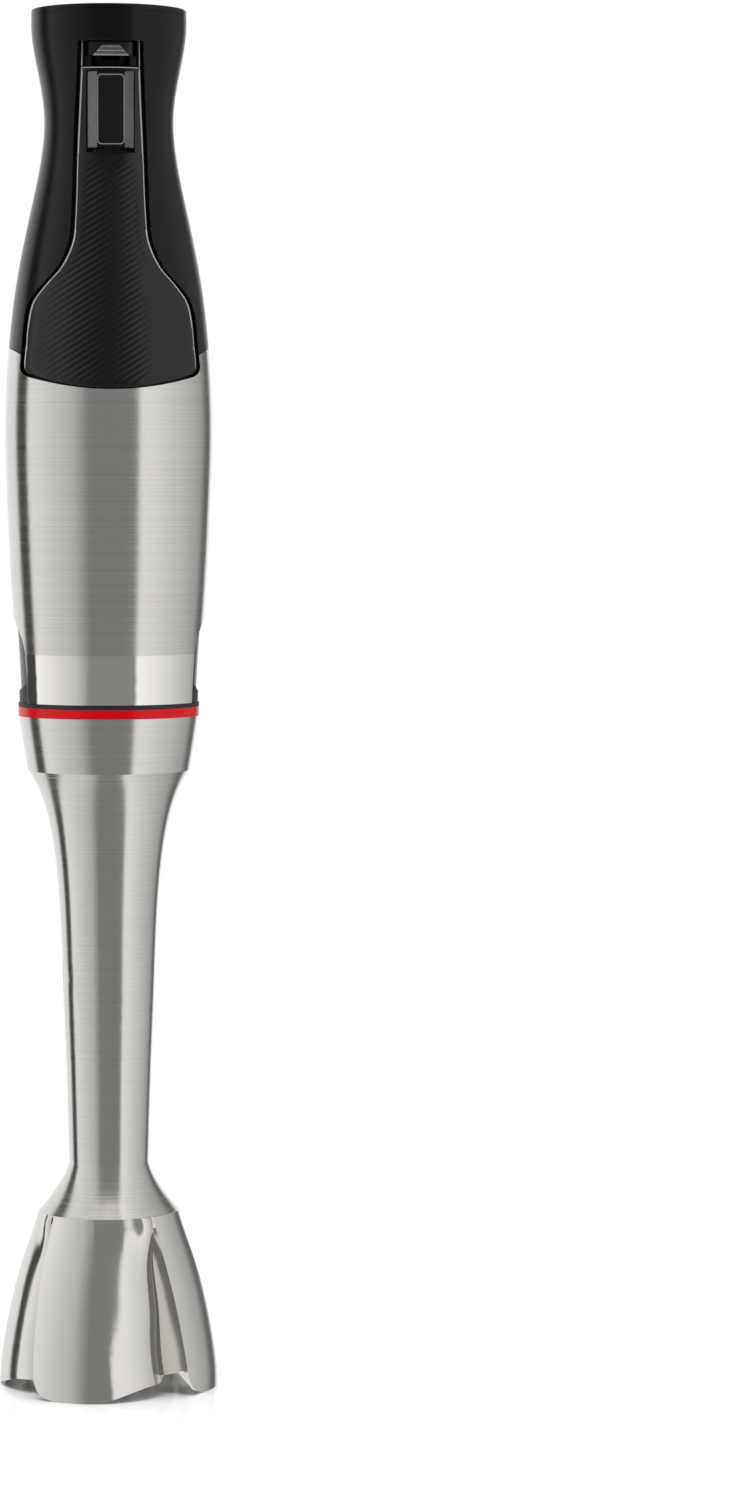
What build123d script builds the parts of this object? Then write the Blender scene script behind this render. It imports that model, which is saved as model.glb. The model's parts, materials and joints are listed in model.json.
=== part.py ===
"""Immersion blender: a corded hand blender standing on its blending foot, as separate pieces.

Row frame: +Z up along the drive axis, origin on the floor under it, -Y is the trigger side.
All sizes are millimetres. Each sub-part is written to parts/NODE.step.
"""
from build123d import *
import math
import os

# ---------------------------------------------------------------- driving dimensions
SEAM_BELL = 50.6        # top of the bell, where the shaft tube flares to meet it
SEAM_COLLAR = 178.3     # the shaft tube's top, where the collar starts
PARTING = 194.2         # plane where the motor unit sits on the blending foot
RING_TOP = 196.9        # top of the red sealing ring
SLEEVE_FOOT = 198.2     # lower edge of the steel sleeve
CAP_SEAM = 397.2        # where the top cap meets the handle shells
HEIGHT = 400.0          # overall height

# Outer outlines as (radius, height), from the bottom up.
BODY_OUTLINE = [(26.2, 196.9), (26.9, 212), (28.4, 234), (29.5, 257), (30.05, 276), (29.3, 297),
                (26.6, 321), (22.6, 341), (19.4, 357.5), (18.75, 367.5), (20.3, 379.5), (22.0, 388.5),
                (22.5, CAP_SEAM)]
TUBE_OUTLINE = [(11.45, 64.2), (12.3, 92), (13.3, 117.4), (14.25, 139.5), (15.9, 156), (18.3, 167.5),
                (23.2, SEAM_COLLAR)]
FLARE_OUTLINE = [(20.0, SEAM_BELL), (16.2, 55.4), (13.3, 59.8), (11.45, 64.2)]
COLLAR_OUTLINE = [(23.4, SEAM_COLLAR), (24.8, 186.5), (25.95, PARTING)]

TUBE_WALL = 1.0
SLEEVE_WALL = 1.0
SHELL_WALL = 1.8
HOUSING_WALL = 2.0
SLIP = 0.15             # gap between nested shells

SHAFT_R = 3.0           # drive shaft in the blending foot
MOTOR_SHAFT_R = 2.5
RUNNING = 0.05          # radial clearance of a running fit
TWO_SIDES = (-1, 1)

# The grip insert's front outline as (half width, height), from its top down to its rounded foot.
GRIP_OUTLINE = [(8.2, 388.6), (8.5, 379), (9.4, 358), (10.1, 338), (11.0, 330.5), (14.2, 323.5),
                (18.6, 318.5), (22.0, 314), (23.4, 309), (24.2, 301), (24.7, 295.6)]
GRIP_CORNER = (22.6, 292.6)
GRIP_FOOT = 288.7
GRIP_TOP = 388.6
GRIP_HEAD = 381.0       # top edge of the soft insert, under the safety lock
TRIGGER_WINDOW = (-6.95, 6.95), (-40, 0), (356.5, 379.9)

# Steel sleeve's upper edge in side view: an arch over each side, down to the front and the back.
ARCH_CROWN = 300.8
ARCH_SPRING = 288.5
ARCH_HALF = 31.0

BELL_LOBES = 4
BELL_WALL = 1.3
# Bell sections as (height, lobe radius, valley radius, leading edge azimuth in degrees).
BELL_SECTIONS = [(0.0, 31.6, 22.4, 45.2), (9.0, 31.1, 22.1, 43.4), (20.0, 29.3, 21.7, 41.6),
                 (31.0, 26.8, 20.9, 39.6), (40.0, 24.0, 20.35, 37.8), (45.5, 22.0, 20.9, 37.0),
                 (SEAM_BELL, 20.3, 20.1, 36.2)]
# Each lobe's long flank as (degrees after the leading edge, share of the lobe's height over the valley).
BELL_FLANK = [(49.3, 0.88), (62.7, 0.685), (73.7, 0.48)]
FLANK_END_SLOPE = 33.0  # how far the flank leans inward where it meets the valley, in degrees
# The arch cut in the bell's lower edge at each valley, as (distance along the edge, height).
SCALLOP_AZIMUTH = 31.2
SCALLOP_RISE = [(-21.0, -0.01), (-13.3, 1.7), (-5.4, 3.5), (4.4, 5.1), (6.8, 7.2)]
SCALLOP_FALL = [(6.8, 7.2), (8.2, 4.2), (9.8, 1.8), (12.4, 0.6), (16.5, -0.01)]

# Plug of the blending foot, and the motor unit's latches.
LATCH_SLOT_R = 16.5
PLUG_R = 20.5
PLUG_TOP = 208.0
PLUG_BORE = 10.5

# Top cap above its seam, cord inlet, and the screws through the housing's flange.
CAP_RIM = 1.3           # height of the cap's upright rim
CAP_EDGE = 0.45         # roll of the rim into the crown
CROWN_FLAT_R = 2.0      # flat at the middle of the crown
CAP_SPIGOT_R = 20.2
CAP_SPIGOT_WALL = 1.4
CAP_SPIGOT = 3.0
GLAND_R = 5.6
GLAND_Z = 382.0
GLAND_INNER_Y = 15.4
GLAND_LENGTH = 8.8
CORD_BORE_R = 3.6
FLANGE_TOP = 286.5
SCREW_R = 22.8

# Trigger, its pivot and the switch plunger behind it.
PIVOT_Y = -11.6
PIVOT_Z = 379.0
PIVOT_R = 1.0
PLUNGER_Z = 362.0
PLUNGER_R = 1.1
PAD_HALF = 6.6
PAD_BACK = -15.4
PAD_BEVEL = 2.6         # width of the bevel on each side of the pad, seen from the front
PAD_BEVEL_DEPTH = 2.0
PAD_FACE = [(-22.3, 357.8), (-22.5, 360.5), (-22.0, 366), (-21.7, 371), (-21.9, 375.5), (-22.2, 379.5)]
PANEL = (7.3, 19.6, 1.0)   # sunk panel in the pad: width, height, corner radius
PANEL_Z = 368.7
PANEL_DEPTH = 0.3

# Safety lock: a slide with a toothed thumb catch, between two cheeks.
LOCK_FOOT = 384.2
LOCK_TEETH = [(384.2, 385.25, 21.0), (385.35, 386.3, 21.15), (386.4, 387.3, 21.3)]
TOOTH_SLOPE = 0.75      # how far a tooth's face leans back from its foot to its head
CATCH_FOOT_HALF = 5.2
CATCH_HEAD_HALF = 2.5
CHEEK_INNER = 5.5
CHEEK_OUTER = 8.0
SLIDE_HALF = 7.0

# Frame inside the handle.
FRAME_INSET = 4.1       # clear of the shells and of the channel behind the insert
FRAME_TOP = 290.0
RAIL_X = 13.2

PARTS = {}


# ---------------------------------------------------------------- helpers
def turned(*edges):
    """A solid of revolution about Z from edges that close an outline in the XZ plane."""
    return revolve(make_face(Wire(edges)), Axis.Z)


def points_xz(outline, inset=0.0):
    return [Vector(r - inset, 0, z) for r, z in outline]


def polygon_turned(outline):
    """A solid of revolution from a closed outline of straight runs, as (radius, height)."""
    pts = points_xz(outline)
    return revolve(make_face(Polyline(*pts, close=True)), Axis.Z)


def ring(r_in, r_out, z_low, z_high):
    solid = Pos(0, 0, (z_low + z_high) / 2) * Cylinder(r_out, z_high - z_low)
    if r_in > 0:
        solid -= Pos(0, 0, (z_low + z_high) / 2) * Cylinder(r_in, z_high - z_low + 1)
    return solid


def block(x, y, z):
    """A box from three (low, high) pairs."""
    size = [high - low for low, high in (x, y, z)]
    centre = [(low + high) / 2 for low, high in (x, y, z)]
    return Pos(*centre) * Box(*size)


def filled(outline, inset=0.0):
    """The full solid under a smooth outline, out to its radius less the inset."""
    pts = points_xz(outline, inset)
    low, high = pts[0], pts[-1]
    return turned(Spline(*pts), Line(high, (0, 0, high.Z)), Line((0, 0, high.Z), (0, 0, low.Z)),
                  Line((0, 0, low.Z), low))


def shell_of(outline, outer, inner):
    """The wall between two insets of one outline."""
    a, b = points_xz(outline, outer), points_xz(outline, inner)
    return turned(Spline(*a), Line(a[-1], b[-1]), Spline(*b), Line(b[0], a[0]))


def rod_x(radius, x_low, x_high, y, z):
    return Pos((x_low + x_high) / 2, y, z) * Rot(0, 90, 0) * Cylinder(radius, x_high - x_low)


def rod_y(radius, y_low, y_high, x, z):
    return Pos(x, (y_low + y_high) / 2, z) * Rot(90, 0, 0) * Cylinder(radius, y_high - y_low)


def turns(solid, count, start=0.0):
    """Copies of a solid evenly spaced about Z, as one group."""
    return Compound(children=[Rot(0, 0, start + 360 * k / count) * solid for k in range(count)])


def mirrored(solid):
    """The solid and its mirror image across the YZ plane, as one group."""
    return Compound(children=[solid, mirror(solid, about=Plane.YZ)])


def keep(name, shape):
    PARTS[name] = shape
    return shape


# ---------------------------------------------------------------- cutters shared by the shells
def grip_cutter(side_gap, foot_gap=0.0, z_low=0.0, z_high=GRIP_TOP):
    """The insert's outline grown by a gap, run out to the front as a solid."""
    flank = [(w + side_gap, z) for w, z in GRIP_OUTLINE]
    top = flank[0][1]
    foot = GRIP_FOOT - foot_gap
    corner = (GRIP_CORNER[0] + side_gap * 0.6, GRIP_CORNER[1] - foot_gap - side_gap * 0.3)
    right = [Vector(w, 0, z) for w, z in flank]
    left = [Vector(-w, 0, z) for w, z in reversed(flank)]
    rise = corner[1] - foot
    slope = 2 * corner[0] * rise / (corner[0] ** 2 - rise ** 2)
    near, far = Vector(corner[0], 0, corner[1]), Vector(-corner[0], 0, corner[1])
    edges = [
        Line(left[-1], right[0]),
        Spline(*right),
        Spline(right[-1], near, tangents=[(0.1, 0, -1), (-1, 0, -slope)]),
        ThreePointArc(near, (0, 0, foot), far),
        Spline(far, left[0], tangents=[(-1, 0, slope), (0.1, 0, 1)]),
        Spline(*left),
    ]
    outline = make_face(Wire(edges))
    cutter = extrude(outline, 40, dir=(0, -1, 0))
    return cutter & block((-40, 40), (-41, 1), (max(z_low, foot - 5), min(z_high, top + 1)))


def sleeve_zone():
    """Everything under the arch that divides the steel sleeve from the handle shells."""
    arch = ThreePointArc((0, -ARCH_HALF, ARCH_SPRING), (0, 0, ARCH_CROWN), (0, ARCH_HALF, ARCH_SPRING))
    low = SLEEVE_FOOT
    side = make_face(Wire([arch, Line((0, ARCH_HALF, ARCH_SPRING), (0, ARCH_HALF, low)),
                           Line((0, ARCH_HALF, low), (0, -ARCH_HALF, low)),
                           Line((0, -ARCH_HALF, low), (0, -ARCH_HALF, ARCH_SPRING))]))
    return extrude(side, 40, dir=(1, 0, 0), both=True)


def button_outline(grow=0.0, z_low=201.4, z_high=221.4, half=10.5):
    """The release button's shield shape in side view: flat cheeks, arched head, rounded foot."""
    z_low, z_high, half = z_low - grow, z_high + grow, half + grow
    waist, shoulder = z_low + 3.5, z_high - 8.0
    edges = [
        Line((0, half, waist), (0, half, shoulder)),
        ThreePointArc((0, half, shoulder), (0, 0, z_high), (0, -half, shoulder)),
        Line((0, -half, shoulder), (0, -half, waist)),
        ThreePointArc((0, -half, waist), (0, 0, z_low), (0, half, waist)),
    ]
    return make_face(Wire(edges))


def side_prism(face, x_low, x_high, side):
    """A face of the YZ plane run out along one side of X."""
    low = x_low if side > 0 else -x_high
    return Pos(low, 0, 0) * extrude(face, x_high - x_low, dir=(1, 0, 0))


# ---------------------------------------------------------------- blending foot
def bell_section(z, lobe, valley, lead, inset=0.0):
    """One closed section of the bell: four lobes, each a crisp leading wall, a round face and a long flank."""
    lean = 1 + 0.085 * (lobe - valley)
    lobe, valley = lobe - inset, valley - inset * lean
    swing = math.degrees(inset / (lobe + valley) * 2)
    pitch = 360 / BELL_LOBES

    def at(radius, azimuth):
        a = math.radians(azimuth)
        return Vector(radius * math.sin(a), -radius * math.cos(a), z)

    edges = []
    for k in range(BELL_LOBES):
        a = lead + swing + pitch * k
        wall_foot = at(valley, a - 1.0)
        wall_head = at(lobe, a + 1.0)
        face_end = at(lobe, a + 40)
        end = at(valley, a + pitch - 1.0)
        flank = [at(valley + (lobe - valley) * share, a + after) for after, share in BELL_FLANK]
        edges.append(Line(wall_foot, wall_head))
        edges.append(ThreePointArc(wall_head, at(lobe, a + 20), face_end))
        start, stop = math.radians(a + 40), math.radians(a + pitch - 1.0 + FLANK_END_SLOPE)
        tangents = [Vector(math.cos(start), math.sin(start), 0), Vector(math.cos(stop), math.sin(stop), 0)]
        edges.append(Spline(face_end, *flank, end, tangents=tangents))
    return Wire(edges)


def foot_bell():
    outer = Solid.make_loft([bell_section(*s) for s in BELL_SECTIONS])
    inner = Solid.make_loft([bell_section(*s, inset=BELL_WALL) for s in BELL_SECTIONS[:-1]])
    bell = outer - inner
    bell -= ring(0, 16.0, 40, 60)
    for k in range(BELL_LOBES):
        bell -= Rot(0, 0, 90 * k) * scallop()
    return bell


def scallop():
    """Cutter for the arch in the bell's lower edge, between one lobe and the next."""
    rise = [Vector(s, 0, z) for s, z in SCALLOP_RISE]
    fall = [Vector(s, 0, z) for s, z in SCALLOP_FALL]
    low_left, low_right = Vector(rise[0].X, 0, -5), Vector(fall[-1].X, 0, -5)
    face = make_face(Wire([Spline(*rise), Spline(*fall), Line(fall[-1], low_right), Line(low_right, low_left),
                           Line(low_left, rise[0])]))
    return Rot(0, 0, SCALLOP_AZIMUTH) * extrude(face, 45, dir=(0, -1, 0))


def shaft_tube():
    flare_out = points_xz(FLARE_OUTLINE)
    flare_in = points_xz(FLARE_OUTLINE, TUBE_WALL)
    tube_out = points_xz(TUBE_OUTLINE)
    tube_in = points_xz(TUBE_OUTLINE, TUBE_WALL)
    return turned(Spline(*flare_out), Spline(*tube_out), Line(tube_out[-1], tube_in[-1]), Spline(*tube_in),
                  Spline(*flare_in), Line(flare_in[0], flare_out[0]))


def foot_collar():
    a, b = points_xz(COLLAR_OUTLINE), points_xz(COLLAR_OUTLINE, 1.2)
    return turned(Spline(*a), Line(a[-1], b[-1]), Spline(*b), Line(b[0], a[0]))


def coupling_guide():
    """Plastic core in the collar. Its plug enters the motor unit and has a slot for each latch nose."""
    core = polygon_turned([
        (5.5, 158), (12, 158), (12.5, 172), (21.4, SEAM_COLLAR + 0.8), (23.2, 190), (23.9, PARTING - 0.2),
        (PLUG_R, PARTING - 0.2), (PLUG_R, PLUG_TOP - 1.2), (PLUG_R - 1.2, PLUG_TOP), (PLUG_BORE, PLUG_TOP),
        (PLUG_BORE, 174), (5.5, 172)])
    for side in TWO_SIDES:
        x = sorted((side * LATCH_SLOT_R, side * 30))
        core -= block(x, (-3.6, 3.6), (197.5, PLUG_TOP + 1))
    return core


def foot_hub():
    """Hub that closes the bell's top and carries the lower bush and the shaft seal."""
    return polygon_turned([
        (5.5, 38), (5.5, 64), (8.0, 64), (8.8, 57), (14.5, 52.6), (16.0, 52.6), (16.0, SEAM_BELL - 2.4),
        (11.0, 46), (8.6, 34), (6.9, 34), (6.9, 38)])


def blending_foot():
    keep("foot_bell", foot_bell())
    keep("shaft_tube", shaft_tube())
    keep("foot_collar", foot_collar())
    keep("coupling_guide", coupling_guide())
    keep("foot_hub", foot_hub())
    keep("lower_bush", ring(SHAFT_R + RUNNING, 5.5, 40, 62))
    keep("upper_bush", ring(SHAFT_R + RUNNING, 5.5, 159, 171))
    keep("shaft_seal", polygon_turned([(3.3, 34.2), (6.8, 34.2), (6.8, 37.8), (5.6, 37.8), (5.6, 35.4),
                                       (4.4, 35.4), (3.3, 36.8)]))


# ---------------------------------------------------------------- blade and drive shaft
def blade_pair(z, bend_deg, tip_r=18.2, width=7.4, thick=1.1):
    """A stamped blade with two arms: flat at the hub, its tips bent out of the plane."""
    bend_r = 9.5
    angle = math.radians(bend_deg)
    run = tip_r - bend_r
    profile = Polyline((-bend_r, 0, z), (bend_r, 0, z), (bend_r, 0, z + thick), (-bend_r, 0, z + thick),
                       close=True)
    middle = Pos(0, width / 2, 0) * extrude(make_face(profile), width, dir=(0, -1, 0))
    rise = run * math.tan(angle)
    arm = Polyline((bend_r, 0, z), (tip_r, 0, z + rise), (tip_r, 0, z + rise + thick), (bend_r, 0, z + thick),
                   close=True)
    arm = Pos(0, width / 2, 0) * extrude(make_face(arm), width, dir=(0, -1, 0))
    tip = Polyline((6.0, width / 2), (tip_r + 2, width / 2), (tip_r + 2, -width / 2 - 1), (tip_r - 0.4, -width / 2 + 1.2),
                   (6.0, -width / 2), close=True)
    tip = Pos(0, 0, z - 15) * extrude(make_face(tip), 30, dir=(0, 0, 1))
    arm = arm & tip
    blade = middle + arm + Rot(0, 0, 180) * arm
    return blade - ring(0, 2.6, z - 5, z + 10)


def coupling_dog():
    """Male driver: a hub on the shaft with six straight drive ribs that enter the motor's coupling."""
    dog = ring(SHAFT_R, 6.4, 185, 190) + ring(0, 3.8, 190, 203)
    rib = block((3.0, 5.6), (-0.8, 0.8), (190, 202))
    dog += ring(0, 6.4, 190, 191.2)
    for k in range(6):
        dog += Rot(0, 0, 60 * k) * rib
    return dog


def blade_shaft():
    keep("drive_shaft", ring(0, SHAFT_R, 15.0, 190) + ring(0, 2.6, 8.5, 15.0))
    keep("blade_lower", blade_pair(11.0, -12))
    keep("blade_upper", Rot(0, 0, 90) * blade_pair(12.1, 22))
    keep("blade_hub", polygon_turned([(2.6, 13.2), (5.4, 13.2), (5.4, 15.2), (4.6, 19.0), (4.6, 24.0),
                                      (SHAFT_R, 24.0), (SHAFT_R, 15.0), (2.6, 15.0)]))
    nut = Pos(0, 0, 8.8) * extrude(RegularPolygon(4.2, 6), 2.2) - ring(0, 2.6, 8, 12)
    keep("blade_nut", nut)
    keep("thrust_washer", ring(SHAFT_R, 5.2, 31.8, 33.0))
    keep("shaft_circlip", ring(SHAFT_R, 4.6, 171.6, 172.6) - block((0.5, 6), (-1.2, 1.2), (170, 174)))
    keep("coupling_dog", coupling_dog())


# ---------------------------------------------------------------- motor unit: covers
def steel_sleeve():
    sleeve = shell_of(BODY_OUTLINE, 0, SLEEVE_WALL) & sleeve_zone()
    sleeve -= grip_cutter(1.2, 0.25)
    for side in TWO_SIDES:
        sleeve -= side_prism(sleeve_window(), 10, 40, side)
    return sleeve


def sleeve_window():
    """The arched cut in the sleeve's lower edge round each release button."""
    half, crown, foot = 11.4, 222.6, 190.0
    spring = crown - half
    return make_face(Wire([
        Line((0, half, foot), (0, half, spring)),
        ThreePointArc((0, half, spring), (0, 0, crown), (0, -half, spring)),
        Line((0, -half, spring), (0, -half, foot)),
        Line((0, -half, foot), (0, half, foot)),
    ]))


def handle_shells():
    skin = shell_of(BODY_OUTLINE, 0, SHELL_WALL)
    above = block((-40, 40), (-40, 40), (280, CAP_SEAM))
    skin = (skin & above) - (Pos(0, 0, 0.25) * sleeve_zone())
    skin -= grip_cutter(1.25, 1.0)
    front = skin & block((-40, 40), (-40, 0), (280, 400))
    rear = skin & block((-40, 40), (0, 40), (280, 400))
    rear -= rod_y(GLAND_R, 10, 40, 0, GLAND_Z)
    keep("handle_front_shell", front)
    keep("handle_rear_shell", rear)


def soft_grip():
    """Soft front insert from its rounded foot up to the lock, with the trigger's window in it."""
    pad = shell_of(BODY_OUTLINE, 0.1, 2.4) & grip_cutter(0, 0, z_high=GRIP_HEAD)
    return pad - block(*TRIGGER_WINDOW)


def grip_backing():
    """Dark channel behind the insert, seen in the groove round its edge."""
    plate = shell_of(BODY_OUTLINE, 2.5, 3.7) & grip_cutter(3.2, 2.0, z_high=GRIP_HEAD)
    return plate - block((-7.8, 7.8), (-40, 0), (352, 382))


def top_cap():
    """Shallow crown with an upright rim, and a spigot that enters the handle shells."""
    rim_r = BODY_OUTLINE[-1][0]
    low = CAP_SEAM + 0.12
    shoulder = low + CAP_RIM
    roof = CAP_SEAM + 1.0
    spigot_in = CAP_SPIGOT_R - CAP_SPIGOT_WALL
    spigot_low = CAP_SEAM - CAP_SPIGOT
    edge_r, edge_z = rim_r - CAP_EDGE, shoulder + CAP_EDGE
    lean = CAP_EDGE * math.sqrt(0.5)
    roll = ThreePointArc((rim_r, 0, shoulder), (edge_r + lean, 0, shoulder + lean), (edge_r, 0, edge_z))
    middle = (edge_r + CROWN_FLAT_R) / 2
    crown = ThreePointArc((edge_r, 0, edge_z), (middle, 0, HEIGHT - (HEIGHT - edge_z) / 4),
                          (CROWN_FLAT_R, 0, HEIGHT))
    corners = [(CROWN_FLAT_R, HEIGHT), (0, HEIGHT), (0, roof), (spigot_in, roof), (spigot_in, spigot_low), (CAP_SPIGOT_R, spigot_low),
               (CAP_SPIGOT_R, low), (rim_r, low), (rim_r, shoulder)]
    return turned(roll, crown, *[Line((a[0], 0, a[1]), (b[0], 0, b[1])) for a, b in zip(corners, corners[1:])])


def lower_housing():
    """Black inner housing: seen as the border round the buttons, it carries the motor and takes the plug."""
    inset = SLEEVE_WALL + SLIP
    housing = filled(BODY_OUTLINE, inset) & block((-40, 40), (-40, 40), (RING_TOP, FLANGE_TOP))
    brim = filled(BODY_OUTLINE) & block((-40, 40), (-40, 40), (RING_TOP, SLEEVE_FOOT - 0.15))
    for side in TWO_SIDES:
        brim += filled(BODY_OUTLINE, 0.4) & side_prism(brim_window(), 10, 40, side)
    housing += brim
    bay = motor_bay() & block((-40, 40), (-40, 40), (212.6, 281.5))
    housing -= bay
    housing += spring_posts()
    housing -= ring(0, PLUG_R + 0.2, RING_TOP - 1, 210.4)
    housing -= ring(0, 8.6, 200, 230)
    housing -= ring(0, 20.6, 270, 290)
    for side in TWO_SIDES:
        housing -= side_prism(button_outline(0.25), 18.0, 40, side)
        x = sorted((side * 18, side * 24))
        housing -= block(x, (-3.6, 3.6), (198.4, 204))
    for k in range(4):
        housing -= Rot(0, 0, 45 + 90 * k) * Pos(SCREW_R, 0, FLANGE_TOP) * Cylinder(1.25, 12)
    return housing


def motor_bay():
    """The space inside the lower housing's wall."""
    return filled(BODY_OUTLINE, SLEEVE_WALL + SLIP + HOUSING_WALL)


def spring_posts():
    return mirrored(block((18.0, 20.0), (-3.0, 3.0), (212.0, 219.0)))


def brim_window():
    """The part of the sleeve's arched cut that the housing's raised brim fills, below the button."""
    half, top, foot = 11.1, 203.4, RING_TOP
    return make_face(Polyline((0, half, foot), (0, half, top), (0, -half, top), (0, -half, foot), close=True))


def release_button(side):
    """Side button with its inward nose, which enters the slot of the foot's plug."""
    face = filled(BODY_OUTLINE, 1.0) - filled(BODY_OUTLINE, 2.8)
    pad = face & side_prism(button_outline(), 10, 40, side)
    x = sorted((side * 19.4, side * 24.4))
    nose = block(x, (-3.2, 3.2), (201.6, 203.8))
    return pad + nose


def covers():
    keep("steel_sleeve", steel_sleeve())
    handle_shells()
    keep("soft_grip", soft_grip())
    keep("grip_backing", grip_backing())
    keep("top_cap", top_cap())
    keep("lower_housing", lower_housing())
    keep("red_ring", ring(PLUG_R + 0.25, 26.2, PARTING, RING_TOP))
    keep("release_button_left", release_button(-1))
    keep("release_button_right", release_button(1))
    keep("cord_gland", cord_gland())


def cord_gland():
    """Rear inlet bush: a neck through the shell between an inner and an outer flange."""
    place = Pos(0, GLAND_INNER_Y, GLAND_Z) * Rot(-90, 0, 0)
    neck = place * ring(CORD_BORE_R, GLAND_R, 0, GLAND_LENGTH)
    flanges = place * ring(CORD_BORE_R, 7.0, 0, GLAND_LENGTH)
    return neck + (flanges - shell_of(BODY_OUTLINE, 0, SHELL_WALL))


# ---------------------------------------------------------------- trigger and safety lock

def pad_slab():
    """The trigger pad before its bevels: a straight slab whose face dips for the finger."""
    face = Spline(*[Vector(0, y, z) for y, z in PAD_FACE])
    low, high = Vector(0, *PAD_FACE[0]), Vector(0, *PAD_FACE[-1])
    back_low, back_high = Vector(0, PAD_BACK, low.Z), Vector(0, PAD_BACK, high.Z)
    side = make_face(Wire([face, Line(high, back_high), Line(back_high, back_low), Line(back_low, low)]))
    return extrude(side, PAD_HALF, dir=(1, 0, 0), both=True)


def trigger():
    """Finger pad that stands out of the insert's window, hung on the pivot pin by two ears."""
    slab = pad_slab()
    front = slab.faces().sort_by(Axis.Y)[0]
    rims = front.edges().filter_by(lambda edge: abs(abs(edge.center().X) - PAD_HALF) < 0.01)
    body = chamfer(rims, PAD_BEVEL, PAD_BEVEL_DEPTH, reference=front)
    panel = Pos(0, -30, PANEL_Z) * Rot(90, 0, 0) * extrude(RectangleRounded(*PANEL), -12)
    body -= panel - Pos(0, PANEL_DEPTH, 0) * slab
    for sign in TWO_SIDES:
        x = sorted((sign * 5.0, sign * 6.4))
        ear = block(x, (-16.0, PIVOT_Y), (PIVOT_Z - 2.2, PIVOT_Z + 1.3))
        body += ear + rod_x(2.2, x[0], x[1], PIVOT_Y, PIVOT_Z)
    body -= rod_x(PIVOT_R + RUNNING, -10, 10, PIVOT_Y, PIVOT_Z)
    return body + block((-1.6, 1.6), (-16.0, -13.6), (PLUNGER_Z - 1.6, PLUNGER_Z + 1.6))


def switch_carrier():
    """Frame behind the trigger: two lugs that hold the pivot pin on a plate that holds the switch."""
    carrier = block((-9.0, 9.0), (-7.4, -5.6), (352, 388))
    for sign in TWO_SIDES:
        x = sorted((sign * 7.2, sign * 9.0))
        carrier += block(x, (-13.0, -7.0), (PIVOT_Z - 2.6, PIVOT_Z + 2.2))
    carrier -= rod_x(PIVOT_R, -12, 12, PIVOT_Y, PIVOT_Z)
    return carrier - block((-5.0, 5.0), (-8, -5), (356.6, 371.4))


def catch_prism():
    """The thumb catch's front outline, wide at its foot and narrow at its head, run out to the front."""
    head = LOCK_TEETH[-1][1]
    corners = [(CATCH_FOOT_HALF, LOCK_FOOT), (CATCH_HEAD_HALF, head), (-CATCH_HEAD_HALF, head),
               (-CATCH_FOOT_HALF, LOCK_FOOT)]
    outline = make_face(Polyline(*[Vector(x, 0, z) for x, z in corners], close=True))
    return extrude(outline, 30, dir=(0, -1, 0))


def safety_lock():
    """Slide above the trigger with a toothed thumb catch. Each tooth leans back and is undercut."""
    body = shell_of(BODY_OUTLINE, 2.6, 3.7) & block((-SLIDE_HALF, SLIDE_HALF), (-30, 0), (LOCK_FOOT, 388.2))
    prism = catch_prism()
    root = shell_of(BODY_OUTLINE, 1.5, 2.8) & prism
    for low, high, crest in LOCK_TEETH:
        tooth = polygon_turned([(17.6, low), (crest, low), (crest - TOOTH_SLOPE, high), (17.6, high)])
        root += (tooth - filled(BODY_OUTLINE, 3.6)) & prism
    return body + root + block((-2.4, 2.4), (-19.6, -14.4), (386.0, 388.0))


def lock_housing():
    """Surround of the lock slide: two thin rims, two cheeks beside the catch and a slotted back."""
    low, high = GRIP_HEAD + 0.3, GRIP_TOP - 0.1
    hood = shell_of(BODY_OUTLINE, 4.0, 5.0) & block((-8.1, 8.1), (-30, 0), (low, high))
    border = grip_cutter(0, 0) - grip_cutter(-0.6, 0)
    hood += shell_of(BODY_OUTLINE, 0.3, 4.6) & border & block((-9, 9), (-30, 0), (low, high))
    for sign in TWO_SIDES:
        cheek = block(sorted((sign * CHEEK_INNER, sign * CHEEK_OUTER)), (-30, 0), (low, LOCK_FOOT - 0.15))
        hood += shell_of(BODY_OUTLINE, 0.9, 1.9) & cheek
    return hood - block((-2.7, 2.7), (-30, -10), (383.1, 389.4))


def controls():
    keep("trigger", trigger())
    keep("trigger_pin", rod_x(PIVOT_R, -8.9, 8.9, PIVOT_Y, PIVOT_Z))
    keep("switch_carrier", switch_carrier())
    keep("safety_lock", safety_lock())
    keep("lock_housing", lock_housing())
    keep("trigger_spring", Pos(-3.8, PIVOT_Y, PIVOT_Z) * Rot(0, 90, 0) * coil_spring(1.75, 0.35, 0.95, 7.6))
    switch = block((-5.0, 5.0), (-7.4, -1.0), (356.6, 371.4))
    keep("speed_switch", switch - rod_y(PLUNGER_R + RUNNING, -8, -3.6, 0, PLUNGER_Z))
    keep("switch_plunger", rod_y(PLUNGER_R, -13.2, -6.2, 0, PLUNGER_Z))


def coil_spring(radius, wire_r, pitch, length):
    """A coil spring along +Z from the origin."""
    coil = Helix(pitch=pitch, height=length, radius=radius)
    return sweep(Plane(coil @ 0, z_dir=coil % 0) * Circle(wire_r), path=coil, is_frenet=True)


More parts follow.
